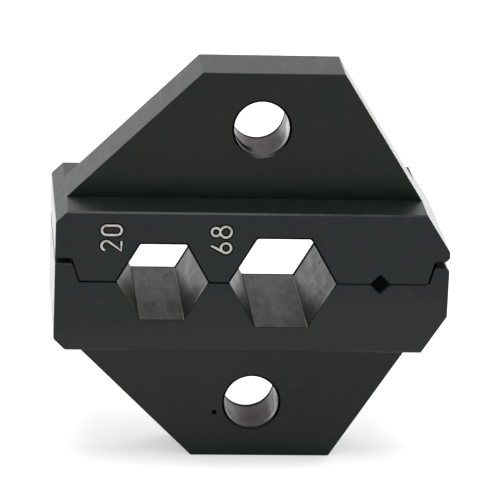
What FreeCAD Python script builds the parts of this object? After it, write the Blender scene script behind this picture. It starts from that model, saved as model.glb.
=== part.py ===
import FreeCAD, Part
import math
import os
import Sketcher

# A pair of crimping dies for a hand tool. The upper and the lower die meet on a
# parting plane; each is a block with a thick head, cut by the nests, and a thinner
# tab with a screw hole, which the jaw of the tool holds.
# Each die is drawn from the parting plane outwards, with z as the distance from it,
# x to the right and y through the thickness. The lower die is turned over to face
# the upper one.

SIZES = [
    ("die_width", 32.0, "full width of a die"),
    ("die_thickness", 13.6, "thickness of the head"),
    ("half_height", 16.5, "parting plane to the end of the tab"),
    ("head_height", 5.9, "parting plane to the ledges"),
    ("tab_thickness", 5.6, "thickness of the tab, centred on the head"),
    ("left_slope_foot", 4.95, "parting plane to the foot of the left slope"),
    ("right_slope_foot", 2.75, "parting plane to the foot of the right slope"),
    ("tab_end_left", 4.25, "centre line to the left corner of the tab's end"),
    ("tab_end_right", 7.25, "centre line to the right corner of the tab's end"),
    ("small_hex_flats", 6.4, "small nest across its flats"),
    ("small_hex_offset", 7.3, "small nest, left of the centre line"),
    ("large_hex_flats", 7.5, "large nest across its flats"),
    ("large_hex_offset", 2.45, "large nest, right of the centre line"),
    ("square_side", 1.15, "side of the square nest, which stands on its corner"),
    ("square_offset", 10.4, "square nest, right of the centre line"),
    ("wire_radius", 0.1, "radius that the cutting wire leaves in the corners of the nests"),
    ("upper_corner", 0.25, "radius in the corners of the upper half of the large nest"),
    ("screw_diameter", 4.0, "screw that holds a die in its jaw"),
    ("screw_clearance", 0.5, "hole over screw, on the diameter"),
    ("screw_offset", 0.65, "screw hole, right of the centre line"),
    ("screw_from_end", 4.7, "screw hole to the end of the tab"),
    ("left_horn_width", 2.0, "side face to the foot of the left step"),
    ("right_horn_width", 1.7, "side face to the foot of the right step"),
    ("step_height", 1.95, "depth of the steps in the upper die"),
    ("left_step_lean", 0.65, "how far the left step leans over its height"),
    ("right_step_lean", 0.5, "how far the right step leans over its height"),
    ("horn_top_gap", 0.45, "upper die over the tops of the horns"),
    ("left_horn_gap", 0.07, "upper die beside the left horn"),
    ("right_horn_gap", 0.13, "upper die beside the right horn"),
    ("step_radius", 0.25, "radius in and on the corners of the steps"),
    ("foot_radius", 0.1, "radius in the lower die at the feet of the horns"),
    ("corner_chamfer", 0.3, "chamfer of the parting corners on the right side"),
    ("screw_chamfer", 0.2, "chamfer on both rims of the screw hole"),
    ("rim_chamfer", 0.14, "chamfer along the head's rim at the ledges"),
    ("edge_chamfer", 0.05, "broken edges of the nests, the sides and the parting faces"),
    ("mark_diameter", 0.41, "hardness test mark on the front of the lower tab"),
    ("mark_tip", 0.08, "flat at the bottom of the hardness test mark"),
    ("mark_cone", 120.0, "full angle of the hardness test mark, in degrees"),
    ("mark_offset", 2.41, "hardness test mark, left of the centre line"),
    ("mark_from_end", 3.81, "hardness test mark to the end of the tab"),
]

SAME = 1e-4

document = FreeCAD.newDocument("CrimpingDies")


def make_sheet():
    """The driving dimensions, in millimetres, one row each."""
    sheet = document.addObject("Spreadsheet::Sheet", "Sizes")
    for row, (alias, value, meaning) in enumerate(SIZES, start=1):
        sheet.set(f"A{row}", alias)
        sheet.set(f"B{row}", str(value))
        sheet.setAlias(f"B{row}", alias)
        sheet.set(f"C{row}", meaning)
    document.recompute()
    return sheet


sizes = make_sheet()


def size(alias):
    """Present value of a driving dimension."""
    return float(sizes.get(alias))


def origin_plane(body, role):
    for feature in body.Origin.OriginFeatures:
        if feature.Role == role:
            return feature
    raise ValueError(role)


def new_sketch(body, name, role):
    sketch = body.newObject("Sketcher::SketchObject", f"{body.Name}_{name}")
    sketch.AttachmentSupport = (origin_plane(body, role), [""])
    sketch.MapMode = "FlatFace"
    return sketch


def hold_point(sketch, geometry, position, across, up):
    """Dimension a point from the origin by two expressions."""
    for kind, expression in (("DistanceX", across), ("DistanceY", up)):
        start = sketch.getPoint(geometry, position)
        value = start.x if kind == "DistanceX" else start.y
        constraint = Sketcher.Constraint(kind, -1, 1, geometry, position, value)
        number = sketch.addConstraint(constraint)
        sketch.setExpression(f"Constraints[{number}]", expression)


def add_polygon(sketch, corners):
    """Closed polygon, each corner a pair of expressions measured from the origin."""
    first = sketch.GeometryCount
    count = len(corners)
    turns = [2 * math.pi * number / count for number in range(count)]
    start = [FreeCAD.Vector(math.cos(turn), math.sin(turn), 0) for turn in turns]
    for number in range(count):
        line = Part.LineSegment(start[number], start[(number + 1) % count])
        sketch.addGeometry(line, False)
    for number in range(count):
        following = first + (number + 1) % count
        joined = Sketcher.Constraint("Coincident", first + number, 2, following, 1)
        sketch.addConstraint(joined)
    for number, (across, up) in enumerate(corners):
        hold_point(sketch, first + number, 1, across, up)


def make_blank(body, is_upper):
    """The block at full thickness, with its slopes and its side of the parting line."""
    side = "Sizes.die_width / 2"
    left_foot = f"-({side} - Sizes.left_horn_width)"
    right_foot = f"({side} - Sizes.right_horn_width)"
    if is_upper:
        level = "Sizes.step_height"
        left_gap = right_gap = "0"
        share = "1"
    else:
        level = "-(Sizes.step_height - Sizes.horn_top_gap)"
        left_gap = "Sizes.left_horn_gap"
        right_gap = "Sizes.right_horn_gap"
        share = "(1 - Sizes.horn_top_gap / Sizes.step_height)"
    outline = [
        (f"-{side}", level),
        (f"-{side}", "Sizes.left_slope_foot"),
        ("-Sizes.tab_end_left", "Sizes.half_height"),
        ("Sizes.tab_end_right", "Sizes.half_height"),
        (side, "Sizes.right_slope_foot"),
        (side, level),
        (f"{right_foot} + {right_gap} + Sizes.right_step_lean * {share}", level),
        (f"{right_foot} + {right_gap}", "0"),
        (f"{left_foot} - {left_gap}", "0"),
        (f"{left_foot} - {left_gap} - Sizes.left_step_lean * {share}", level),
    ]
    sketch = new_sketch(body, "outline", "XZ_Plane")
    add_polygon(sketch, outline)
    pad = body.newObject("PartDesign::Pad", f"{body.Name}_blank")
    pad.Profile = sketch
    pad.SideType = "Symmetric"
    pad.setExpression("Length", "Sizes.die_thickness")
    document.recompute()


def cut_through(body, sketch, name):
    """Pocket through the whole block on both sides of the sketch."""
    pocket = body.newObject("PartDesign::Pocket", f"{body.Name}_{name}")
    pocket.Profile = sketch
    pocket.SideType = "Symmetric"
    pocket.Type = "ThroughAll"
    document.recompute()


def make_ledges(body):
    """The head's front and back milled off above the ledges, which leaves the tab."""
    sketch = new_sketch(body, "ledge_profile", "YZ_Plane")
    for sign in ("", "-"):
        tab = f"{sign}Sizes.tab_thickness / 2"
        outside = f"{sign}Sizes.die_thickness"
        above = "Sizes.half_height * 2"
        ledge = "Sizes.head_height"
        add_polygon(sketch, [(tab, ledge), (outside, ledge), (outside, above), (tab, above)])
    cut_through(body, sketch, "ledges")


def hexagon(centre, flats):
    """Corners of a hexagon whose flats are parallel to the parting plane."""
    across = f"{flats} / sqrt(3)"
    return [
        (f"{centre} + {across}", "0"),
        (f"{centre} + {across} / 2", f"{flats} / 2"),
        (f"{centre} - {across} / 2", f"{flats} / 2"),
        (f"{centre} - {across}", "0"),
        (f"{centre} - {across} / 2", f"-{flats} / 2"),
        (f"{centre} + {across} / 2", f"-{flats} / 2"),
    ]


def make_nests(body):
    """Two hexagonal nests and a square one, all centred on the parting plane."""
    sketch = new_sketch(body, "nest_profile", "XZ_Plane")
    add_polygon(sketch, hexagon("-Sizes.small_hex_offset", "Sizes.small_hex_flats"))
    add_polygon(sketch, hexagon("Sizes.large_hex_offset", "Sizes.large_hex_flats"))
    reach = "Sizes.square_side / sqrt(2)"
    square = [
        (f"Sizes.square_offset + {reach}", "0"),
        ("Sizes.square_offset", reach),
        (f"Sizes.square_offset - {reach}", "0"),
        ("Sizes.square_offset", f"-{reach}"),
    ]
    add_polygon(sketch, square)
    cut_through(body, sketch, "nests")


def make_screw_hole(body):
    """Clearance hole for the screw, through the tab."""
    sketch = new_sketch(body, "screw_centre", "XZ_Plane")
    rim = Part.Circle(FreeCAD.Vector(0, 1, 0), FreeCAD.Vector(0, 0, 1), 1)
    sketch.addGeometry(rim, False)
    hold_point(sketch, 0, 3, "Sizes.screw_offset", "Sizes.half_height - Sizes.screw_from_end")
    number = sketch.addConstraint(Sketcher.Constraint("Diameter", 0, 2.0))
    sketch.setExpression(f"Constraints[{number}]", "Sizes.screw_diameter + Sizes.screw_clearance")
    cut_through(body, sketch, "screw_hole")


def make_hardness_mark(body):
    """Cone that the hardness tester has pressed into the front of the lower tab."""
    sketch = new_sketch(body, "mark_profile", "YZ_Plane")
    sketch.setExpression("AttachmentOffset.Base.z", "-Sizes.mark_offset")
    face = "Sizes.tab_thickness / 2"
    depth = "(Sizes.mark_diameter - Sizes.mark_tip) / 2 / tan(Sizes.mark_cone / 2 * 1deg)"
    level = "Sizes.half_height - Sizes.mark_from_end"
    half_profile = [
        (face, level),
        (f"{face} - {depth}", level),
        (f"{face} - {depth}", f"{level} + Sizes.mark_tip / 2"),
        (face, f"{level} + Sizes.mark_diameter / 2"),
    ]
    add_polygon(sketch, half_profile)
    mark = body.newObject("PartDesign::Groove", f"{body.Name}_hardness_mark")
    mark.Profile = sketch
    mark.ReferenceAxis = (sketch, ["Edge1"])
    mark.Angle = 360
    document.recompute()


def near(value, target):
    return abs(value - target) < SAME


def ends(edge):
    return [vertex.Point for vertex in edge.Vertexes]


def runs_through(edge):
    """True for an edge that runs straight through the thickness."""
    first, last = ends(edge)[0], ends(edge)[-1]
    return near(first.x, last.x) and near(first.z, last.z) and not near(first.y, last.y)


def dress(body, kind, name, alias, wanted):
    """A fillet or a chamfer of the named size on the edges that wanted picks."""
    base = body.Tip
    edges = enumerate(base.Shape.Edges, start=1)
    feature = body.newObject(kind, f"{body.Name}_{name}")
    feature.Base = (base, [f"Edge{number}" for number, edge in edges if wanted(edge)])
    measure = "Radius" if kind == "PartDesign::Fillet" else "Size"
    feature.setExpression(measure, f"Sizes.{alias}")
    document.recompute()


def round_nest(body, name, centre, radius):
    """Radius in the two inner corners of a hexagonal nest."""
    flats = size(f"{name}_flats")
    reach = flats / math.sqrt(3) / 2

    def at_corner(edge):
        end = ends(edge)[0]
        there = near(abs(end.x - centre), reach) and near(end.z, flats / 2)
        return there and runs_through(edge)

    dress(body, "PartDesign::Fillet", f"{name}_corners", radius, at_corner)


def round_steps(body, is_upper):
    """Radii on the corners of both steps, and the chamfered corner at the right side."""
    side = size("die_width") / 2
    level = size("step_height") if is_upper else size("horn_top_gap") - size("step_height")
    nests_end = size("square_offset") + size("square_side")

    def at_corner(edge):
        end = ends(edge)[0]
        return runs_through(edge) and near(end.z, level) and abs(end.x) < side - SAME

    def at_foot(edge):
        end = ends(edge)[0]
        return runs_through(edge) and near(end.z, 0) and abs(end.x) > nests_end

    def at_right_side(edge):
        end = ends(edge)[0]
        return runs_through(edge) and near(end.z, level) and near(end.x, side)

    foot_radius = "step_radius" if is_upper else "foot_radius"
    dress(body, "PartDesign::Fillet", "step_corners", "step_radius", at_corner)
    dress(body, "PartDesign::Fillet", "step_feet", foot_radius, at_foot)
    dress(body, "PartDesign::Chamfer", "right_corner", "corner_chamfer", at_right_side)


def break_edges(body):
    """Chamfers on the rims of the screw hole, of the head and of everything else."""
    face = size("die_thickness") / 2
    tab_face = size("tab_thickness") / 2
    ledge = size("head_height")
    hole_level = size("half_height") - size("screw_from_end")
    rim_foot = ledge - size("rim_chamfer")

    def on_screw_rim(edge):
        return isinstance(edge.Curve, Part.Circle) and near(edge.Curve.Center.z, hole_level)

    def on_head_rim(edge):
        return all(near(abs(end.y), face) and near(end.z, ledge) for end in ends(edge))

    def on_face_edge(edge):
        on_face = all(near(abs(end.y), face) for end in ends(edge))
        return on_face and not all(near(end.z, rim_foot) for end in ends(edge))

    def on_tab_edge(edge):
        on_tab = all(near(abs(end.y), tab_face) and end.z > ledge for end in ends(edge))
        is_root = near(ends(edge)[0].z, ends(edge)[-1].z) and ends(edge)[0].z < hole_level
        return on_tab and not is_root and isinstance(edge.Curve, Part.Line)

    dress(body, "PartDesign::Chamfer", "screw_rims", "screw_chamfer", on_screw_rim)
    dress(body, "PartDesign::Chamfer", "head_rims", "rim_chamfer", on_head_rim)
    dress(body, "PartDesign::Chamfer", "face_edges", "edge_chamfer", on_face_edge)
    dress(body, "PartDesign::Chamfer", "tab_edges", "edge_chamfer", on_tab_edge)


def make_die(name, is_upper):
    body = document.addObject("PartDesign::Body", name)
    body.Label = name
    make_blank(body, is_upper)
    make_ledges(body)
    make_nests(body)
    make_screw_hole(body)
    round_nest(body, "small_hex", -size("small_hex_offset"), "wire_radius")
    round_nest(body, "large_hex", size("large_hex_offset"), "upper_corner" if is_upper else "wire_radius")
    round_steps(body, is_upper)
    break_edges(body)
    if not is_upper:
        make_hardness_mark(body)
    if not is_upper:
        body.Placement.Rotation = FreeCAD.Rotation(FreeCAD.Vector(1, 0, 0), 180)
    body.setExpression("Placement.Base.z", "Sizes.half_height")
    return body


def check(objects):
    """Stop where a feature failed or a solid is not sound."""
    for item in document.Objects:
        if "Invalid" in item.State or "Error" in item.State:
            raise RuntimeError(f"{item.Label}: {item.State}")
    for item in objects:
        if item.Shape.isNull() or not item.Shape.isValid():
            raise RuntimeError(f"{item.Label} is not a valid shape")


dies = [make_die("upper_die", True), make_die("lower_die", False)]
document.recompute()
check(dies)
os.makedirs("parts", exist_ok=True)
for die in dies:
    die.Shape.exportStep(f"parts/{die.Label}.step")
    print(die.Label, round(die.Shape.Volume, 1), die.Shape.BoundBox)
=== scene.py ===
import math

import bpy
from mathutils import Matrix, Vector


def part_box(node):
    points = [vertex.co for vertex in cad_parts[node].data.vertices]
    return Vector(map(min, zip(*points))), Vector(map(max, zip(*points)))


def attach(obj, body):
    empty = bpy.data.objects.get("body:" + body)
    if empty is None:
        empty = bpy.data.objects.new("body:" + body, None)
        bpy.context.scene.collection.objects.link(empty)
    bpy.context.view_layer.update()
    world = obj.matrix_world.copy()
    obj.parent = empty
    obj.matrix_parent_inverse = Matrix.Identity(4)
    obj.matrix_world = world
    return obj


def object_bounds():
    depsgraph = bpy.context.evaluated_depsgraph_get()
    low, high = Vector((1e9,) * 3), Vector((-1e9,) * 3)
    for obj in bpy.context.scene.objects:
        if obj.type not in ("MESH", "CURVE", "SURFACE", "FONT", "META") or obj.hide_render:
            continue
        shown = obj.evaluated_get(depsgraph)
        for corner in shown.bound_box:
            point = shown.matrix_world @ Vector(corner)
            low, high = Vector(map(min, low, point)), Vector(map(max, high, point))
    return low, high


MM = 0.001


def mm(*lengths):
    """Lengths that are written in millimetres, in metres."""
    return tuple(length * MM for length in lengths)


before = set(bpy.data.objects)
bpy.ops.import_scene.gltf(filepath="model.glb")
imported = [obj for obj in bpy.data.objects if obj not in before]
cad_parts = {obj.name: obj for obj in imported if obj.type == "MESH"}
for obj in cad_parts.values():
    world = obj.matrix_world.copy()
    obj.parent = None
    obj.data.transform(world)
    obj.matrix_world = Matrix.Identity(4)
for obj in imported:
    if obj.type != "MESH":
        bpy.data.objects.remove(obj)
cad_low, cad_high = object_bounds()
front = cad_low.y
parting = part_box("upper_die")[0].z

# The photograph's camera: where its axis meets the front face, and how it looks there.
LOOK_AT = Vector((-0.317 * MM, front, 19.329 * MM))
CAMERA_DISTANCE = 296.26 * MM
CAMERA_AZIMUTH = 5.167
CAMERA_ELEVATION = 18.229
CAMERA_ROLL = 2.261
SENSOR = 36.0
LENS = 264.6
CLIP_START = 0.01

# Places on the dies. A nest is its middle and its width across flats, a mark its x, z and radius.
NESTS = (mm(-7.3, 6.4), mm(2.45, 7.5))
COS_30 = math.sqrt(0.75)
SQUARE_X, SQUARE_REACH = mm(10.4, 0.82)
HOLE_X, HOLE_OFF_PARTING, HOLE_RADIUS = mm(0.65, 11.8, 2.2)
HOLE_HEIGHTS = (parting - HOLE_OFF_PARTING, parting + HOLE_OFF_PARTING)
LEDGE_HEIGHT = 5.9 * MM
TAB_FACE = 2.8 * MM
HEAD_FACE = 6.8 * MM
STEP_FOOT = 13.4 * MM
STEP_HEIGHT = 1.95 * MM
HORN_HEIGHT = 1.5 * MM
SIDE = 16.0 * MM
# Place of the dark dot of painted shade for the hardness mark's pit.
HARDNESS_MARK = mm(-2.41, 3.81, 0.2)
SPECK_RADIUS = 0.05 * MM
SPECKS = (mm(-12.14, 14.73), mm(-1.76, 15.61), mm(5.26, 11.99), mm(-7.04, 10.62))

# Colours of the oxide layer and of what shows through it, and of the painted shade, painted
# highlights and painted light laid over it.
GREEN_BLACK = (0.0012, 0.0066, 0.0040, 1)
BROWN_BLACK = (0.0066, 0.0066, 0.0034, 1)
BLUE_BLACK = (0.0020, 0.0066, 0.0082, 1)
PALE_CLOUD = (0.0095, 0.0112, 0.0092, 1)
LEDGE_GREEN = (0.0085, 0.0130, 0.0108, 1)
DEEP_GREEN = (0.0020, 0.0150, 0.0058, 1)
NEST_DARK = (0.0040, 0.0042, 0.0028, 1)
NEST_PALE = (0.0150, 0.0145, 0.0120, 1)
NEST_OIL = (0.0150, 0.0148, 0.0070, 1)
NEST_STAIN = (0.0500, 0.0290, 0.0170, 1)
# Painted shade at the foot of the nests' slopes.
NEST_FOOT_SHADE = (0.0040, 0.0030, 0.0018, 1)
BARE_STEEL = (0.031, 0.031, 0.033, 1)
SPECK = (0.06, 0.06, 0.055, 1)
# Painted shade in the parting line, the gaps, the nests' mouths and corners, the screw holes, the
# hardness mark and beside the numbers.
SHADE_BLACK = (0.0010, 0.0014, 0.0012, 1)
# Painted light: the square nest is pale in the middle of its length, standing in for light inside
# the deep hole, and darker near either end.
SQUARE_PAINTED_LIGHT = (0.130, 0.158, 0.146, 1)
SQUARE_DARK = (0.012, 0.022, 0.019, 1)
# Painted highlight on the fillets in the nests' right corners.
CORNER_HIGHLIGHT = (0.220, 0.210, 0.180, 1)
FLANK_VIOLET = (0.056, 0.044, 0.062, 1)
FLANK_OLIVE = (0.066, 0.064, 0.048, 1)
BORE_VIOLET = (0.036, 0.024, 0.034, 1)
BORE_BROWN = (0.055, 0.036, 0.026, 1)
BORE_GREY = (0.004, 0.006, 0.004, 1)
# Painted highlight on the screw holes' smoother strips and on the nests' right walls at the front.
PAINTED_HIGHLIGHT = (0.155, 0.150, 0.155, 1)
# Painted reflection that makes the lower head paler towards the right.
HEAD_REFLECTION_PALE = (0.0170, 0.0175, 0.0170, 1)
PALE_BROWN = (0.0210, 0.0195, 0.0150, 1)
RUST = (0.020, 0.011, 0.006, 1)

# Colours of reflections, and the steel's refractive index.
GLOSSY = (1, 1, 1, 1)
MATT = (0.08, 0.08, 0.08, 1)
NO_GLOSS = (0, 0, 0, 1)
STEEL_IOR = 1.4

# Noises, each with its scale, detail and roughness.
CLOUDS = (230.0, 3.0, 0.55)
SHADES = (900.0, 3.0, 0.6)
NEST_SHADES = (1100.0, 4.0, 0.65)
NEST_MOTTLE = (2600.0, 4.0, 0.65)
NEST_CLOUDS = (700.0, 4.0, 0.6)
STAINS = (900.0, 3.0, 0.5)
BORE_PATCHES = (1000.0, 4.0, 0.6)
RUBBING = (1500.0, 3.0, 0.6)
RUST_GRAINS = (1500.0, 3.0, 0.5)
RUST_PATCHES = (350.0, 1.0, 0.5)
GRAIN = (9000.0, 2.0, 0.5)
CHIP_SCALE = 700.0

# How much a noise changes along each axis where it is drawn out: in the openings, then the
# tool marks with their noises.
ALONG_DEPTH = (1.0, 0.3, 1.0)
GROUND = ((0.03, 1.0, 1.0), (5200.0, 3.0, 0.6))
WIRE_CUT = ((1.0, 0.03, 1.0), (4200.0, 3.0, 0.6))
DRILLED = ((0.04, 1.0, 0.04), (3200.0, 3.0, 0.6))

# Every fade is the value where a mark is absent, then the value where it is full.
# Fades by the strength of a noise.
MIDDLE = (0.4, 0.6)
SOFT = (0.3, 0.7)
PALE_SHADES = (0.42, 0.75)
STAIN_SPOTS = (0.5, 0.6)
RUBBED_SPOTS = (0.4, 0.7)
RUST_SPOTS = (0.66, 0.71)
RUST_AREAS = (0.45, 0.6)
CHIP_SIZE = (0.06, 0.03)
CHIP_PICK = (0.955, 0.96)

# Fades by a part of the face's unit normal: to front or back, to the sides, or upwards.
THROUGH_DIES = (0.35, 0.25)
BEVEL_START = (0.3, 0.5)
BEVEL_END = (0.97, 0.9)
RIM_TURN = (0.4, 0.6)
STEEP = (0.5, 0.7)
STEEP_TO_LEFT = (-0.5, -0.7)
UPRIGHT = (0.76, 0.82)
LEVEL = (0.9, 0.97)
LOOKS_UP = (0.0, 0.3)
SILL_TURN = (0.1, 0.3)
CORNER_START = (0.08, 0.2)
CORNER_END = (0.8, 0.7)
CORNER_LEFT = (0.0, -0.1)
CORNER_RIGHT = (0.0, 0.1)
BORE_RIGHT_WALL = (-0.7, -0.95)
BORE_NOT_BELOW = (0.45, 0.2)
BORE_NOT_FLOOR = (0.95, 0.5)
CHAMFER_NOT_FLOOR = (0.6, 0.3)

# Fades by distance from an axis, a nest's wall or the parting plane. A dot's is in radii.
AXIS_EDGE = mm(0.1, 0.04)
DOT_EDGE = (1.2, 0.9)
NEST_EDGE = mm(0.1, 0.07)
RIM_EDGE = mm(0.18, 0.12)
HEAD_EDGE = mm(6.05, 5.85)
TAB_ROOT_EDGE = mm(9.9, 5.9)
SEAM_EDGE = mm(0.11, 0.05)
STAIN_EDGE = mm(2.4, 1.4)
OLIVE_EDGE = mm(0.4, 1.4)
# Fade of the painted shade at the foot of the nests' slopes.
FOOT_SHADE_EDGE = mm(1.9, 3.6)
OUTER_EDGES = mm(5.0, 5.5)
# Fade at the end of the screw holes' smoother strip with its painted highlight.
POLISH_HIGHLIGHT_EDGE = mm(0.25, -0.15)

# Fades by height above the floor.
FOOT = mm(3.5, 0.5)
GREEN_FOOT = mm(3.0, 0.5)

# Fades by height above the parting plane.
LOWER_HEAD = mm(0.0, -2.0)
LOWER_DIE = mm(-3.0, -5.0)
UPPER_ROOT_START = mm(5.8, 6.4)
UPPER_ROOT_END = mm(9.5, 6.5)
UPPER_TAB = mm(6.5, 9.0)
UPPER_BORE = mm(0.0, 1.0)
LOWER_NESTS = mm(0.0, -0.3)
RIM_HEIGHT = mm(-0.3, 0.3)
VIOLET_HEIGHT = mm(-1.5, 0.0)
BRIGHT_HEIGHT = mm(-2.2, -1.2)
LEFT_SLOPE_FOOT = mm(-0.3, -1.8)

# Fades by place along the width.
# Sweep of the painted reflection on the lower head.
HEAD_REFLECTION_SWEEP = mm(-16.0, 10.0)
FACES_RUBBED = mm(6.0, -3.0)
LARGE_NEST = mm(-3.6, -2.6)
SMALL_NEST = mm(-3.0, -4.0)
SMALL_NEST_LEFT = mm(-8.5, -9.0)
SEAM_SWEEP = mm(2.0, 8.0)
GAP_SWEEP = mm(-13.0, 13.0)
DULL_SWEEP = mm(-2.0, 9.0)
BORE_LEFT = mm(0.25, -0.55)

# Fades by place along the thickness.
FRONT_HALF = mm(-0.5, -1.0)
NEAR_FRONT = (1.0 * MM, front)
TAB_SKIN = mm(3.4, 3.3)
HEAD_SKIN = mm(6.6, 6.7)
SQUARE_INSIDE = mm(5.0, 6.0)
BORE_BACK = (TAB_FACE - 0.75 * MM, TAB_FACE - 0.6 * MM)

# Strips: the middle, half of the full width, and the width of the soft border.
LEDGE_STRIP = (LEDGE_HEIGHT, 0.02 * MM, 0.02 * MM)
TAB_ROOT_STRIP = (LEDGE_HEIGHT, 0.35 * MM, 0.02 * MM)
SEAM_STRIP = mm(0.1, 14.1, 0.1)
LEDGE_END_STRIP = mm(12.0, 0.6, 1.4)
# Strip of the painted shade crescent in the upper screw hole.
BORE_CRESCENT_STRIP = mm(-1.5, 0.4, 0.5)
GAP_LEVEL_STRIP = (
    parting + (HORN_HEIGHT + STEP_HEIGHT) / 2,
    (STEP_HEIGHT - HORN_HEIGHT) / 2 + 0.04 * MM,
    0.03 * MM,
)
GAP_WIDTH_STRIP = ((STEP_FOOT + SIDE) / 2, (SIDE - STEP_FOOT) / 2 - 0.06 * MM, 0.03 * MM)

# Lengths of marks in the nests and the bores.
# How much higher the painted shade at the nests' slope feet reaches: at the front, on the left
# slopes, and in the large nest.
FOOT_SHADE_LIFT_FRONT, FOOT_SHADE_LIFT_LEFT, FOOT_SHADE_LIFT_LARGE = mm(1.5, 1.1, -1.0)
BRIGHT_STRIP = 0.5 * MM
BACK_STRIP = 0.3 * MM
BACK_STRIP_MORE_ON_SLOPES = 0.5 * MM
CHAMFER_REACH = 0.16 * MM
# Reach of the screw holes' smoother strip with its painted highlight.
POLISH_HIGHLIGHT_START = 0.8 * MM - TAB_FACE
POLISH_HIGHLIGHT_REACH_LOWER, POLISH_HIGHLIGHT_REACH_UPPER = mm(3.4, 2.0)

# Strengths of marks. A pair is the strength at the start and at the end of a sweep.
GREENER = 0.16
UPPER_ROOT_STRENGTH = 0.75
BORE_VIOLET_STRENGTH = 0.7
SEAM_STRENGTHS = (0.85, 0.5)
GAP_STRENGTHS = (0.1, 1.0)
SILL_STRENGTHS = (1.0, 0.5)
WORN_DULLNESS = (0.4, 0.85)
EDGE_DULLNESS = (0.0, 0.65)
LEDGE_END_DULLNESS = 0.95
UPPER_TAB_DULLNESS = 0.12

# Roughness, and the depth and strength of the fine relief.
STEEL_ROUGHNESS = 0.27
POLISH_LOWER, POLISH_UPPER = (-0.19, -0.13)
FILL_ROUGHNESS = 0.6
FILL_ROUGHNESS_SPREAD = 0.2
MARK_HEIGHT = 0.6
STEEL_RELIEF = 0.25
FILL_RELIEF = 0.3
RELIEF_DEPTH = 0.01 * MM

# The filled numbers, each with the left, right, lower and upper end of its ink in millimetres.
NUMBERS = (
    ("left", "20", (-12.4, -10.6, 19.05, 21.35)),
    ("right", "68", (-3.55, -1.75, 18.95, 21.32)),
)
STROKE = 0.2 * MM
# Width of the dark strip of painted shade under the filling.
SHADE_STRIP_WIDTH = 0.46 * MM
FILL_RISE = 0.01 * MM
# How far the dark strip of painted shade stands off the front.
SHADE_STRIP_RISE = 0.004 * MM
GAP_SHARE = 0.14
ARC_STEPS = 14
LOOP_STEPS = 20
BOWL_STEPS = 24
LINE_ROUNDNESS = 3
SIX_TIP = 0.72
EIGHT_TOP = 0.84

# Colours and noises of the filling, and of the painted shade around it.
FILL_PALE = (0.68, 0.655, 0.61, 1)
FILL_GREY = (0.33, 0.31, 0.28, 1)
FILL_DARK = (0.12, 0.11, 0.10, 1)
SHADE_STRIP_BROWN = (0.0022, 0.0016, 0.0012, 1)
FILL_PATCHES = (3000.0, 3.0, 0.6)
FILL_PATCH_SPOTS = (0.45, 0.75)
FILL_DUST = (14000.0, 2.0, 0.5)
FILL_DUST_SPOTS = (0.6, 0.75)
SHADE_STRIP_NOISE = (5000.0, 3.0, 0.6)

# Studio: the floor's own glow, the brightness of the room, and the lamps.
WHITE = (1, 1, 1, 1)
FLOOR_REACH = 3.0
FLOOR_GREY = (0.8, 0.8, 0.8, 1)
FLOOR_GLOW = 0.45
FLOOR_GLOW_BEHIND = 1.2
FLOOR_GLOW_BEFORE = 0.18
BEHIND_OBJECT = (0.005, 0.04)
BEFORE_START = (-0.06, -0.035)
BEFORE_END = (-0.012, -0.024)
ROOM_FRONT = 0.4
ROOM_BACK = 1.0
ROOM_FADE = (-0.6, 0.4)
SOFTBOXES = (
    ("overhead", (0, -0.1, 0.4), 0.3, 0.2, 0.9),
    ("rim_right", (0.3, 0.3, 0.16), 0.2, 0.2, 0.4),
)


def make_camera():
    """Camera left of the object and above it, rolled a little clockwise."""
    azimuth = math.radians(CAMERA_AZIMUTH)
    elevation = math.radians(CAMERA_ELEVATION)
    forward = Vector((
        math.sin(azimuth) * math.cos(elevation),
        math.cos(azimuth) * math.cos(elevation),
        -math.sin(elevation),
    ))
    level = forward.cross(Vector((0, 0, 1))).normalized()
    roll = Matrix.Rotation(-math.radians(CAMERA_ROLL), 3, forward)
    right = roll @ level
    up = right.cross(forward)
    data = bpy.data.cameras.new("camera")
    data.sensor_width = SENSOR
    data.lens = LENS
    data.clip_start = CLIP_START
    camera = bpy.data.objects.new("camera", data)
    bpy.context.scene.collection.objects.link(camera)
    rotation = Matrix((right, up, -forward)).transposed().to_4x4()
    camera.matrix_world = Matrix.Translation(LOOK_AT - forward * CAMERA_DISTANCE) @ rotation
    bpy.context.scene.camera = camera


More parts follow.
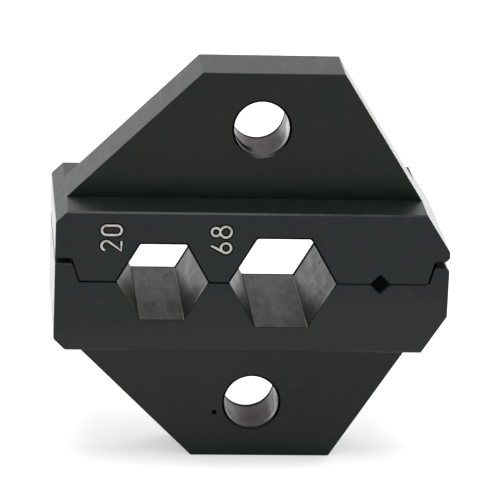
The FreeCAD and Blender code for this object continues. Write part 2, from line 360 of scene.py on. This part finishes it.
class Graph:
    """Short calls for building a node tree."""

    def __init__(self, tree):
        self.tree = tree
        tree.nodes.clear()

    def node(self, kind, inputs=None, **settings):
        node = self.tree.nodes.new(kind)
        for name, value in settings.items():
            setattr(node, name, value)
        for name, value in (inputs or {}).items():
            self.feed(node.inputs[name], value)
        return node

    def feed(self, socket, value):
        if isinstance(value, bpy.types.NodeSocket):
            self.tree.links.new(value, socket)
        else:
            socket.default_value = value

    def math(self, operation, first, second=0.0, third=0.0):
        inputs = {0: first, 1: second, 2: third}
        return self.node("ShaderNodeMath", inputs, operation=operation).outputs[0]

    def times(self, *factors):
        """Masks and numbers multiplied with each other."""
        product = factors[0]
        for factor in factors[1:]:
            product = self.math("MULTIPLY", product, factor)
        return product

    def most(self, *masks):
        """The strongest of several masks."""
        strongest = masks[0]
        for mask in masks[1:]:
            strongest = self.math("MAXIMUM", strongest, mask)
        return strongest

    def without(self, mask):
        """A mask turned around: 0 where it is full and 1 where it is absent."""
        return self.math("SUBTRACT", 1.0, mask)

    def add(self, start, *terms):
        """A value with terms added to it, each a mask and its amount."""
        total = start
        for mask, amount in terms:
            total = self.math("MULTIPLY_ADD", mask, amount, total)
        return total

    def band(self, value, low, high):
        """0 below low, 1 above high, smooth between; falls instead where high is below low."""
        inputs = {"Value": value, "From Min": low, "From Max": high}
        node = self.node("ShaderNodeMapRange", inputs, interpolation_type="SMOOTHSTEP")
        return node.outputs[0]

    def within(self, value, centre, half_width, border):
        """1 up to half_width from a centre, and 0 past the border around that."""
        away = self.math("ABSOLUTE", self.math("SUBTRACT", value, centre))
        return self.band(away, half_width + border, half_width)

    def noise(self, vector, scale, detail, roughness):
        inputs = {"Vector": vector, "Scale": scale, "Detail": detail, "Roughness": roughness}
        return self.node("ShaderNodeTexNoise", inputs).outputs["Fac"]

    def spots(self, vector, noise, fade):
        """1 in the spots where a noise is strong, 0 between them."""
        return self.band(self.noise(vector, *noise), *fade)

    def mix(self, factor, first, second):
        """Colours mixed by a factor."""
        node = self.node("ShaderNodeMix", data_type="RGBA")
        self.feed(node.inputs[0], factor)
        self.feed(node.inputs[6], first)
        self.feed(node.inputs[7], second)
        return node.outputs[2]

    def blend(self, factor, first, second):
        """Plain numbers mixed by a factor."""
        node = self.node("ShaderNodeMix", data_type="FLOAT")
        self.feed(node.inputs[0], factor)
        self.feed(node.inputs[2], first)
        self.feed(node.inputs[3], second)
        return node.outputs[0]

    def turn(self, factor, first, second):
        """Directions mixed by a factor."""
        node = self.node("ShaderNodeMix", data_type="VECTOR")
        self.feed(node.inputs[0], factor)
        self.feed(node.inputs[4], first)
        self.feed(node.inputs[5], second)
        return node.outputs[1]

    def scale(self, vector, factors):
        """A place with each axis multiplied by a factor of its own."""
        node = self.node("ShaderNodeVectorMath", {0: vector, 1: factors}, operation="MULTIPLY")
        return node.outputs[0]

    def paint(self, colour, *layers):
        """A colour with layers over it, each a mask, its strength and its own colour."""
        painted = colour
        for mask, strength, over in layers:
            painted = self.mix(self.times(mask, strength), painted, over)
        return painted

    def bump(self, height, strength, **more):
        inputs = {"Strength": strength, "Distance": RELIEF_DEPTH, "Height": height, **more}
        return self.node("ShaderNodeBump", inputs).outputs[0]


def new_material(name):
    material = bpy.data.materials.new(name)
    material.use_nodes = True
    graph = Graph(material.node_tree)
    shader = graph.node("ShaderNodeBsdfPrincipled")
    output = graph.node("ShaderNodeOutputMaterial")
    graph.feed(output.inputs["Surface"], shader.outputs[0])
    return material, graph, shader


class Surface:
    """Where a point of the steel lies: its place at rest and the way its face looks."""

    def __init__(self, graph):
        self.graph = graph
        self.place = graph.node("ShaderNodeTexCoord").outputs["Object"]
        self.x, self.y, self.z = graph.node("ShaderNodeSeparateXYZ", {0: self.place}).outputs
        self.normal = graph.node("ShaderNodeNewGeometry").outputs["Normal"]
        parts = graph.node("ShaderNodeSeparateXYZ", {0: self.normal}).outputs
        self.facing_x, facing_y, self.upward = parts
        self.sideways = graph.math("ABSOLUTE", self.facing_x)
        self.across = graph.math("ABSOLUTE", facing_y)
        self.depth = graph.math("ABSOLUTE", self.y)
        self.above = graph.math("SUBTRACT", self.z, parting)
        self.off_parting = graph.math("ABSOLUTE", self.above)

    def from_axis(self, x, z):
        """How far a point lies from an axis that runs through the thickness."""
        graph = self.graph
        aside = graph.math("SUBTRACT", self.x, x)
        above = graph.math("SUBTRACT", self.z, z)
        squares = graph.add(graph.times(above, above), (aside, aside))
        return graph.math("SQRT", squares)

    def towards_axis(self, x, z):
        """The way from a point to an axis that runs through the thickness."""
        graph = self.graph
        way = graph.node("ShaderNodeCombineXYZ", {
            "X": graph.math("SUBTRACT", x, self.x),
            "Z": graph.math("SUBTRACT", z, self.z),
        })
        unit = graph.node("ShaderNodeVectorMath", {0: way.outputs[0]}, operation="NORMALIZE")
        return unit.outputs[0]

    def round_axis(self, x, z, radius):
        """1 inside a radius of an axis that runs through the thickness."""
        past = self.graph.math("SUBTRACT", self.from_axis(x, z), radius)
        return self.graph.band(past, *AXIS_EDGE)

    def round_holes(self, radius):
        """1 inside a radius of the axis of either screw hole."""
        return self.graph.most(*(self.round_axis(HOLE_X, z, radius) for z in HOLE_HEIGHTS))

    def on_front(self, x, z, radius):
        """1 inside a radius of a point of the front side."""
        graph = self.graph
        radii_away = graph.math("DIVIDE", self.from_axis(x, z), radius)
        return graph.times(graph.band(radii_away, *DOT_EDGE), graph.band(self.y, *FRONT_HALF))

    def outside_nest(self, x, flats):
        """How far a point lies outside the walls of a hexagonal nest."""
        graph = self.graph
        aside = graph.math("ABSOLUTE", graph.math("SUBTRACT", self.x, x))
        slanted = graph.add(graph.times(self.off_parting, 0.5), (aside, COS_30))
        reach = graph.most(self.off_parting, slanted)
        return graph.math("SUBTRACT", reach, flats / 2)

    def step_gaps(self):
        """1 on the faces that look into the gap between a horn and the upper die."""
        graph = self.graph
        return graph.times(
            graph.within(self.z, *GAP_LEVEL_STRIP),
            graph.within(graph.math("ABSOLUTE", self.x), *GAP_WIDTH_STRIP),
            graph.band(self.across, *BEVEL_END),
        )

    def ledges(self):
        """1 on the ledges, which face away from the parting plane."""
        graph = self.graph
        level = graph.band(graph.math("ABSOLUTE", self.upward), *LEVEL)
        return graph.times(graph.within(self.off_parting, *LEDGE_STRIP), level)


class Steel(Surface):
    """The parts of the dies that several layers of their finish follow, as masks, with the places
    of painted shade and painted highlights.
    """

    def __init__(self, graph):
        super().__init__(graph)
        self.drawn_place = graph.scale(self.place, ALONG_DEPTH)
        self.shades = graph.noise(self.place, *SHADES)
        self.upper_half = graph.math("GREATER_THAN", self.above, 0.0)
        self.wall = graph.band(self.across, *THROUGH_DIES)
        self.slope = graph.band(self.sideways, *STEEP)
        self.rightward = graph.band(self.facing_x, *STEEP)
        self.leftward = graph.band(self.facing_x, *STEEP_TO_LEFT)
        self.near_front = graph.band(self.y, *NEAR_FRONT)
        self.find_nests()
        self.find_foot_shade()
        self.find_bores()
        self.find_edges()

    def find_nests(self):
        """The walls and the mouths of the nests, and the corners at the foot of the hexagons, with
        a painted highlight in the right corners and painted shade in the left ones.
        """
        graph = self.graph
        self.outside = graph.math("MINIMUM", *(self.outside_nest(*nest) for nest in NESTS))
        in_nests = graph.band(self.outside, *NEST_EDGE)
        in_square = self.round_axis(SQUARE_X, parting, SQUARE_REACH)
        self.mouths = graph.most(in_nests, in_square)
        self.nests = graph.times(in_nests, self.wall)
        self.square = graph.times(in_square, self.wall)
        corners = graph.times(
            graph.band(self.sideways, *CORNER_START),
            graph.band(self.sideways, *CORNER_END),
            graph.band(self.upward, *LOOKS_UP),
            self.nests,
        )
        # Painted highlight in the right corners, painted shade in the left ones.
        self.highlight_corners = graph.times(corners, graph.band(self.facing_x, *CORNER_LEFT))
        self.shaded_corners = graph.times(corners, graph.band(self.facing_x, *CORNER_RIGHT))

    def find_foot_shade(self):
        """Painted shade at the foot of the nests' slopes in the lower die, higher at the front and
        on the left slopes.
        """
        graph = self.graph
        low = graph.add(
            self.off_parting,
            (self.near_front, FOOT_SHADE_LIFT_FRONT),
            (self.rightward, FOOT_SHADE_LIFT_LEFT),
            (graph.band(self.x, *LARGE_NEST), FOOT_SHADE_LIFT_LARGE),
        )
        below = graph.band(self.above, *LOWER_NESTS)
        self.foot_shade = graph.times(graph.band(low, *FOOT_SHADE_EDGE), below, self.slope)

    def find_bores(self):
        """The screw holes, the patches in them, and the strip near their front, deeper on the right
        wall, where they are smoother and a highlight is painted.
        """
        graph = self.graph
        self.bores = graph.times(self.round_holes(HOLE_RADIUS), self.wall)
        self.patches = graph.spots(self.drawn_place, BORE_PATCHES, MIDDLE)
        right_wall = graph.times(
            graph.band(self.facing_x, *BORE_RIGHT_WALL),
            graph.band(self.upward, *BORE_NOT_BELOW),
        )
        reach = graph.blend(self.upper_half, POLISH_HIGHLIGHT_REACH_LOWER, POLISH_HIGHLIGHT_REACH_UPPER)
        polish_highlight_end = graph.add(POLISH_HIGHLIGHT_START, (right_wall, reach))
        past_polish_highlight = graph.math("SUBTRACT", self.y, polish_highlight_end)
        self.polish_and_highlight = graph.times(
            self.bores,
            graph.band(past_polish_highlight, *POLISH_HIGHLIGHT_EDGE),
            graph.band(self.upward, *BORE_NOT_FLOOR),
        )

    def find_edges(self):
        """The small bevels between a face and what runs through the thickness."""
        graph = self.graph
        bevels = graph.times(
            graph.band(self.across, *BEVEL_START),
            graph.band(self.across, *BEVEL_END),
        )
        tab_root = graph.times(
            graph.band(self.depth, *TAB_SKIN),
            graph.within(self.off_parting, *TAB_ROOT_STRIP),
        )
        self.mouth_bevels = graph.times(bevels, self.mouths)
        self.outer_bevels = graph.times(
            bevels,
            graph.without(tab_root),
            graph.without(self.mouths),
            graph.band(self.off_parting, *OUTER_EDGES),
            graph.band(self.upward, *LOOKS_UP),
        )
        self.worn = graph.times(self.outer_bevels, graph.spots(self.place, RUBBING, RUBBED_SPOTS))


def face_colour(steel):
    """Clouds of brown and green over near-black, bluer on the heads, paler where rubbed, and with a
    painted reflection that pales the lower head towards the right.
    """
    graph = steel.graph
    foot = graph.band(steel.z, *FOOT)
    greener = graph.times(graph.most(graph.band(steel.off_parting, *TAB_ROOT_EDGE), foot), GREENER)
    clouds = graph.math("SUBTRACT", graph.noise(steel.place, *CLOUDS), greener)
    head = graph.band(steel.off_parting, *HEAD_EDGE)
    # Painted reflection: the lower head is paler, more so towards the right.
    lower_head_reflection = graph.times(
        graph.band(steel.above, *LOWER_HEAD),
        head,
        graph.band(steel.x, *HEAD_REFLECTION_SWEEP),
    )
    upper_root = graph.times(
        graph.band(steel.above, *UPPER_ROOT_START),
        graph.band(steel.above, *UPPER_ROOT_END),
        UPPER_ROOT_STRENGTH,
    )
    rubbed_faces = graph.times(
        graph.most(graph.band(steel.above, *LOWER_DIE), upper_root),
        steel.across,
        graph.band(steel.x, *FACES_RUBBED),
    )
    deep_green = graph.times(
        graph.most(upper_root, graph.band(steel.z, *GREEN_FOOT)),
        steel.across,
    )
    return graph.paint(
        graph.mix(graph.band(clouds, *MIDDLE), GREEN_BLACK, BROWN_BLACK),
        (head, 0.6, BLUE_BLACK),
        (graph.band(steel.shades, *PALE_SHADES), 1.0, PALE_CLOUD),
        (steel.ledges(), 1.0, LEDGE_GREEN),
        (lower_head_reflection, 0.55, HEAD_REFLECTION_PALE),
        (foot, 0.3, PALE_CLOUD),
        (rubbed_faces, 0.46, PALE_BROWN),
        (deep_green, 0.7, DEEP_GREEN),
    )


def nest_colour(steel):
    """Walls of the hexagonal nests: oily at the front, violet and stained on the slopes, with
    painted shade at the slopes' foot and a painted highlight in the right corners.
    """
    graph = steel.graph
    shades = graph.spots(steel.drawn_place, NEST_SHADES, SOFT)
    violet = graph.times(steel.slope, graph.band(steel.above, *VIOLET_HEIGHT))
    olive = graph.times(
        steel.rightward,
        graph.band(steel.off_parting, *OLIVE_EDGE),
        graph.band(steel.x, *SMALL_NEST_LEFT),
    )
    stains = graph.times(
        steel.near_front,
        graph.spots(steel.drawn_place, STAINS, STAIN_SPOTS),
        graph.band(steel.off_parting, *STAIN_EDGE),
        steel.slope,
    )
    return graph.paint(
        graph.mix(shades, NEST_DARK, NEST_PALE),
        (violet, 1.0, FLANK_VIOLET),
        (steel.near_front, 0.7, NEST_OIL),
        (steel.foot_shade, 1.0, NEST_FOOT_SHADE),
        (olive, 1.0, FLANK_OLIVE),
        (stains, 1.0, NEST_STAIN),
        (steel.highlight_corners, 1.0, CORNER_HIGHLIGHT),
    )


def bore_colour(steel):
    """Grey and brown patches in the screw holes, violet on their sides."""
    graph = steel.graph
    patched = graph.mix(steel.patches, BORE_GREY, BORE_BROWN)
    return graph.paint(patched, (steel.slope, BORE_VIOLET_STRENGTH, BORE_VIOLET))


def highlight_edges(steel):
    """1 on the strip of the nests' right walls at the front where a highlight is painted."""
    graph = steel.graph
    return graph.times(
        steel.nests,
        graph.math("LESS_THAN", steel.y, front + BRIGHT_STRIP),
        steel.leftward,
        graph.band(steel.above, *BRIGHT_HEIGHT),
    )


def seam_shade(steel):
    """Painted shade along the parting line and in the gaps over the horns."""
    graph = steel.graph
    seam = graph.times(
        graph.band(steel.off_parting, *SEAM_EDGE),
        graph.band(steel.depth, *HEAD_SKIN),
        graph.within(steel.x, *SEAM_STRIP),
        graph.blend(graph.band(steel.x, *SEAM_SWEEP), *SEAM_STRENGTHS),
    )
    gap_strength = graph.blend(graph.band(steel.x, *GAP_SWEEP), *GAP_STRENGTHS)
    return graph.most(seam, graph.times(steel.step_gaps(), gap_strength))


def nest_shade(steel):
    """Painted shade around the nests' mouths, at their far ends, in their left corners and on their
    mouth bevels.
    """
    graph = steel.graph
    rim = graph.times(
        graph.band(steel.outside, *RIM_EDGE),
        graph.band(steel.across, *RIM_TURN),
        graph.band(steel.above, *RIM_HEIGHT),
    )
    far_start = graph.add(HEAD_FACE - BACK_STRIP, (steel.slope, -BACK_STRIP_MORE_ON_SLOPES))
    far_end = graph.times(
        steel.nests,
        graph.math("GREATER_THAN", steel.y, far_start),
        graph.without(steel.rightward),
    )
    sill_strength = graph.blend(graph.band(steel.upward, *SILL_TURN), *SILL_STRENGTHS)
    bevels = graph.times(steel.mouth_bevels, sill_strength)
    return graph.most(rim, far_end, steel.shaded_corners, bevels)


def bore_shade(steel):
    """Painted shade on the screw holes' chamfers, at their far ends and in a crescent on the upper
    one's left wall.
    """
    graph = steel.graph
    chamfers = graph.times(
        steel.round_holes(HOLE_RADIUS + CHAMFER_REACH),
        graph.band(steel.across, *BEVEL_START),
        graph.band(steel.upward, *CHAMFER_NOT_FLOOR),
    )
    far_end = graph.times(steel.bores, graph.band(steel.y, *BORE_BACK))
    left_wall = graph.times(
        steel.bores,
        graph.within(steel.y, *BORE_CRESCENT_STRIP),
        graph.band(steel.above, *UPPER_BORE),
        graph.band(steel.x, *BORE_LEFT),
    )
    return graph.most(chamfers, far_end, left_wall)


def dullness(steel):
    """How far gloss is lost on the worn edges, the ledges' right end and the upper tab."""
    graph = steel.graph
    to_right = graph.band(steel.x, *DULL_SWEEP)
    return graph.most(
        graph.times(steel.worn, graph.blend(to_right, *WORN_DULLNESS)),
        graph.times(steel.ledges(), graph.within(steel.x, *LEDGE_END_STRIP), LEDGE_END_DULLNESS),
        graph.times(graph.band(steel.above, *UPPER_TAB), steel.across, UPPER_TAB_DULLNESS),
        graph.times(steel.outer_bevels, graph.blend(to_right, *EDGE_DULLNESS)),
    )


def rust_specks(steel):
    """1 on the specks of rust in the nests."""
    graph = steel.graph
    return graph.times(
        graph.spots(steel.place, RUST_GRAINS, RUST_SPOTS),
        graph.spots(steel.place, RUST_PATCHES, RUST_AREAS),
        steel.nests,
    )


def chips(steel):
    """1 on the few round chips that show bare metal."""
    graph = steel.graph
    cells = graph.node("ShaderNodeTexVoronoi", {"Vector": steel.place, "Scale": CHIP_SCALE})
    pick = graph.node("ShaderNodeSeparateColor", {0: cells.outputs["Color"]}).outputs[0]
    size = graph.band(cells.outputs["Distance"], *CHIP_SIZE)
    return graph.times(size, graph.band(pick, *CHIP_PICK))


def tool_marks(steel):
    """Grinding along the width, wire-cutting along the thickness, drilling around the bores."""
    graph = steel.graph
    ground, wire_cut, drilled = (
        graph.noise(graph.scale(steel.place, changes), *noise)
        for changes, noise in (GROUND, WIRE_CUT, DRILLED)
    )
    return graph.blend(steel.bores, graph.blend(steel.wall, ground, wire_cut), drilled)


def steel_roughness(steel, marks, painted_shade, rust):
    """Roughness, smoother on the outer sides, the nests' slopes and the screw holes' front strips.
    """
    graph = steel.graph
    outer_sides = graph.times(
        graph.band(steel.sideways, *UPRIGHT),
        graph.without(steel.mouths),
    )
    left_slopes = graph.times(steel.nests, steel.rightward)
    left_feet = graph.times(left_slopes, graph.band(steel.above, *LEFT_SLOPE_FOOT))
    small_nest_right = graph.times(steel.nests, steel.leftward, graph.band(steel.x, *SMALL_NEST))
    mottle = graph.times(steel.nests, graph.spots(steel.drawn_place, NEST_MOTTLE, SOFT))
    clouds = graph.times(steel.nests, graph.spots(steel.drawn_place, NEST_CLOUDS, SOFT))
    return graph.add(
        STEEL_ROUGHNESS,
        (steel.shades, 0.16),
        (marks, 0.08),
        (steel.bores, 0.07),
        (graph.times(steel.bores, steel.patches), 0.08),
        (steel.polish_and_highlight, graph.blend(steel.upper_half, POLISH_LOWER, POLISH_UPPER)),
        (outer_sides, -0.09),
        (left_slopes, -0.06),
        (left_feet, 0.07),
        (small_nest_right, -0.025),
        (mottle, 0.07),
        (clouds, 0.06),
        (graph.times(steel.nests, steel.foot_shade), 0.12),
        (painted_shade, 0.55),
        (rust, 0.25),
    )


def steel_relief(steel, marks):
    """The way the steel faces: truly round in the bores, with tool marks and grain."""
    graph = steel.graph
    round_walls = (steel.towards_axis(HOLE_X, z) for z in HOLE_HEIGHTS)
    bore_wall = graph.turn(steel.upper_half, *round_walls)
    smooth = graph.turn(steel.bores, steel.normal, bore_wall)
    height = graph.add(graph.noise(steel.place, *GRAIN), (marks, MARK_HEIGHT))
    return graph.bump(height, STEEL_RELIEF, Normal=smooth)


def blackened_steel():
    """Black-oxide steel with ground faces, wire-cut nests, drilled holes and worn edges."""
    material, graph, shader = new_material("blackened_steel")
    steel = Steel(graph)
    # Painted light in the middle of the square nest, darker near its ends.
    square = graph.mix(graph.band(steel.depth, *SQUARE_INSIDE), SQUARE_PAINTED_LIGHT, SQUARE_DARK)
    # Painted shade of the hardness mark's pit: a dark dot on the front.
    hardness_pit_shade = steel.on_front(*HARDNESS_MARK)
    # All painted shade: near-black and without gloss.
    painted_shade = graph.most(seam_shade(steel), nest_shade(steel), bore_shade(steel), hardness_pit_shade)
    rust = rust_specks(steel)
    marks = tool_marks(steel)
    specks = [(steel.on_front(x, z, SPECK_RADIUS), 1.0, SPECK) for x, z in SPECKS]
    colour = graph.paint(
        face_colour(steel),
        (steel.nests, 1.0, nest_colour(steel)),
        (steel.square, 1.0, square),
        (steel.bores, 1.0, bore_colour(steel)),
        # Painted highlight on the screw holes' smoother strips and the nests' right walls.
        (graph.most(steel.polish_and_highlight, highlight_edges(steel)), 1.0, PAINTED_HIGHLIGHT),
        (steel.worn, 1.0, BARE_STEEL),
        (painted_shade, 1.0, SHADE_BLACK),
        (rust, 1.0, RUST),
        (chips(steel), 1.0, BARE_STEEL),
        *specks,
    )
    reflection = graph.mix(graph.most(painted_shade, dullness(steel)), GLOSSY, MATT)
    graph.feed(shader.inputs["Base Color"], colour)
    graph.feed(shader.inputs["Specular Tint"], reflection)
    graph.feed(shader.inputs["Roughness"], steel_roughness(steel, marks, painted_shade, rust))
    graph.feed(shader.inputs["Normal"], steel_relief(steel, marks))
    shader.inputs["IOR"].default_value = STEEL_IOR
    return material


def dress_dies():
    steel = blackened_steel()
    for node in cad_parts.values():
        for slot in node.material_slots:
            slot.material = steel


def number_fill():
    """Pale filling of the numbers, chipped and darkened in places."""
    material, graph, shader = new_material("number_fill")
    place = graph.node("ShaderNodeTexCoord").outputs["Object"]
    patches = graph.noise(place, *FILL_PATCHES)
    dust = graph.noise(place, *FILL_DUST)
    colour = graph.paint(
        FILL_PALE,
        (graph.band(patches, *FILL_PATCH_SPOTS), 1.0, FILL_GREY),
        (graph.band(dust, *FILL_DUST_SPOTS), 1.0, FILL_DARK),
    )
    roughness = graph.add(FILL_ROUGHNESS, (patches, FILL_ROUGHNESS_SPREAD))
    graph.feed(shader.inputs["Base Color"], colour)
    graph.feed(shader.inputs["Roughness"], roughness)
    graph.feed(shader.inputs["Normal"], graph.bump(dust, FILL_RELIEF))
    return material


def groove_edge():
    """Painted shade beside the filling: a dark, unglossy strip under it."""
    material, graph, shader = new_material("groove_edge")
    place = graph.node("ShaderNodeTexCoord").outputs["Object"]
    shade_noise = graph.noise(place, *SHADE_STRIP_NOISE)
    roughness = graph.add(FILL_ROUGHNESS, (shade_noise, FILL_ROUGHNESS_SPREAD))
    graph.feed(shader.inputs["Base Color"], graph.mix(shade_noise, SHADE_BLACK, SHADE_STRIP_BROWN))
    graph.feed(shader.inputs["Roughness"], roughness)
    shader.inputs["Specular Tint"].default_value = NO_GLOSS
    return material


def arc(centre, radius, start, stop, steps=ARC_STEPS):
    """Points of a circular arc, angles in degrees."""
    points = []
    for step in range(steps + 1):
        angle = math.radians(start + (stop - start) * step / steps)
        across = centre[0] + radius * math.cos(angle)
        up = centre[1] + radius * math.sin(angle)
        points.append((across, up))
    return points


def digit_path(digit, width, height):
    """Centre line of a single-stroke digit in a box of this width and height."""
    radius = width / 2
    if digit == "0":
        top = arc((radius, height - radius), radius, 0, 180)
        bottom = arc((radius, radius), radius, 180, 360)
        return top + bottom + top[:1]
    if digit == "6":
        bowl = arc((radius, radius), radius, 170, 530, BOWL_STEPS)
        return [(SIX_TIP * width, height)] + bowl
    if digit == "8":
        small = EIGHT_TOP * radius
        large = (height - 2 * small) / 2
        top = arc((radius, height - small), small, -90, 270, LOOP_STEPS)
        bottom = arc((radius, large), large, 90, 450, LOOP_STEPS)
        return top[:-1] + bottom[:-1] + top[:1]
    if digit == "2":
        bow = arc((radius, height - radius), radius, 165, -38)
        return bow + [(0, 0), (width, 0)]
    raise ValueError(digit)


def number_curve(name, text, box, line):
    """Digits on the upper die's front as round lines, read from below upwards, tops to the left."""
    left, right, lower, upper = mm(*box)
    gap = GAP_SHARE * (upper - lower)
    width = (upper - lower - gap * (len(text) - 1)) / len(text) - STROKE
    height = right - left - STROKE
    base = right - STROKE / 2
    curve = bpy.data.curves.new(name, "CURVE")
    curve.dimensions = "3D"
    curve.bevel_depth = line / 2
    curve.bevel_resolution = LINE_ROUNDNESS
    curve.use_fill_caps = True
    for place, digit in enumerate(text):
        start = lower + STROKE / 2 + place * (width + STROKE + gap)
        path = digit_path(digit, width, height)
        closed = path[0] == path[-1]
        if closed:
            path = path[:-1]
        spline = curve.splines.new("POLY")
        spline.points.add(len(path) - 1)
        for point, (across, up) in zip(spline.points, path):
            point.co = (base - up, front, start + across, 1)
        spline.use_cyclic_u = closed
    return curve


def engrave(name, text, box, line, rise, material):
    """A number of lines this wide, flattened so that it stands this far off the front."""
    solid = bpy.data.objects.new(name + "_curve", number_curve(name, text, box, line))
    bpy.context.scene.collection.objects.link(solid)
    mesh = bpy.data.meshes.new_from_object(solid)
    bpy.data.objects.remove(solid)
    for vertex in mesh.vertices:
        vertex.co.y = front + (vertex.co.y - front) * rise / (line / 2)
    mesh.name = name
    mesh.materials.clear()
    mesh.materials.append(material)
    mesh.shade_smooth()
    piece = bpy.data.objects.new(name, mesh)
    bpy.context.scene.collection.objects.link(piece)
    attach(piece, "upper")


def make_numbers():
    fill = number_fill()
    shade_material = groove_edge()
    for name, text, box in NUMBERS:
        # The painted shade beside each number, then its filling.
        engrave("groove_" + name, text, box, SHADE_STRIP_WIDTH, SHADE_STRIP_RISE, shade_material)
        engrave("number_" + name, text, box, STROKE, FILL_RISE, fill)


def floor_glow(graph):
    """The floor's own light: for the camera, and behind and before the object for reflections."""
    place = graph.node("ShaderNodeTexCoord").outputs["Object"]
    depth = graph.node("ShaderNodeSeparateXYZ", {0: place}).outputs[1]
    path = graph.node("ShaderNodeLightPath")
    behind = graph.band(depth, *BEHIND_OBJECT)
    before = graph.times(graph.band(depth, *BEFORE_START), graph.band(depth, *BEFORE_END))
    reflected = graph.add(
        graph.times(behind, FLOOR_GLOW_BEHIND),
        (before, FLOOR_GLOW_BEFORE),
    )
    strength = graph.add(
        graph.times(path.outputs["Is Glossy Ray"], reflected),
        (path.outputs["Is Camera Ray"], FLOOR_GLOW),
    )
    return graph.node("ShaderNodeEmission", {"Color": WHITE, "Strength": strength})


def make_floor():
    """A pale floor that reads as white and still takes the shadow, greyer in front."""
    mesh = bpy.data.meshes.new("floor")
    reach = FLOOR_REACH
    corners = [(-reach, -reach, 0), (reach, -reach, 0), (reach, reach, 0), (-reach, reach, 0)]
    mesh.from_pydata(corners, [], [(0, 1, 2, 3)])
    floor = bpy.data.objects.new("floor", mesh)
    bpy.context.scene.collection.objects.link(floor)
    material = bpy.data.materials.new("floor")
    material.use_nodes = True
    graph = Graph(material.node_tree)
    diffuse = graph.node("ShaderNodeBsdfDiffuse", {"Color": FLOOR_GREY})
    glow = floor_glow(graph)
    both = graph.node("ShaderNodeAddShader", {0: diffuse.outputs[0], 1: glow.outputs[0]})
    output = graph.node("ShaderNodeOutputMaterial")
    graph.feed(output.inputs["Surface"], both.outputs[0])
    mesh.materials.append(material)


def make_world():
    """White to the camera; a room that is darker in front of the object than behind it."""
    world = bpy.data.worlds.new("studio")
    bpy.context.scene.world = world
    world.use_nodes = True
    graph = Graph(world.node_tree)
    direction = graph.node("ShaderNodeTexCoord").outputs["Generated"]
    depth = graph.node("ShaderNodeSeparateXYZ", {0: direction}).outputs[1]
    room = graph.blend(graph.band(depth, *ROOM_FADE), ROOM_FRONT, ROOM_BACK)
    path = graph.node("ShaderNodeLightPath")
    strength = graph.blend(path.outputs["Is Camera Ray"], room, 1.0)
    background = graph.node("ShaderNodeBackground", {"Color": WHITE, "Strength": strength})
    output = graph.node("ShaderNodeOutputWorld")
    graph.feed(output.inputs["Surface"], background.outputs[0])


def add_softbox(name, place, width, height, power):
    data = bpy.data.lights.new(name, "AREA")
    data.shape = "RECTANGLE"
    data.size = width
    data.size_y = height
    data.energy = power
    light = bpy.data.objects.new(name, data)
    bpy.context.scene.collection.objects.link(light)
    light.location = place
    light.rotation_mode = "QUATERNION"
    light.rotation_quaternion = (LOOK_AT - Vector(place)).to_track_quat("-Z", "Y")


def make_lights():
    for softbox in SOFTBOXES:
        add_softbox(*softbox)


make_camera()
dress_dies()
make_numbers()
make_floor()
make_world()
make_lights()
bpy.context.scene.view_settings.view_transform = "Standard"
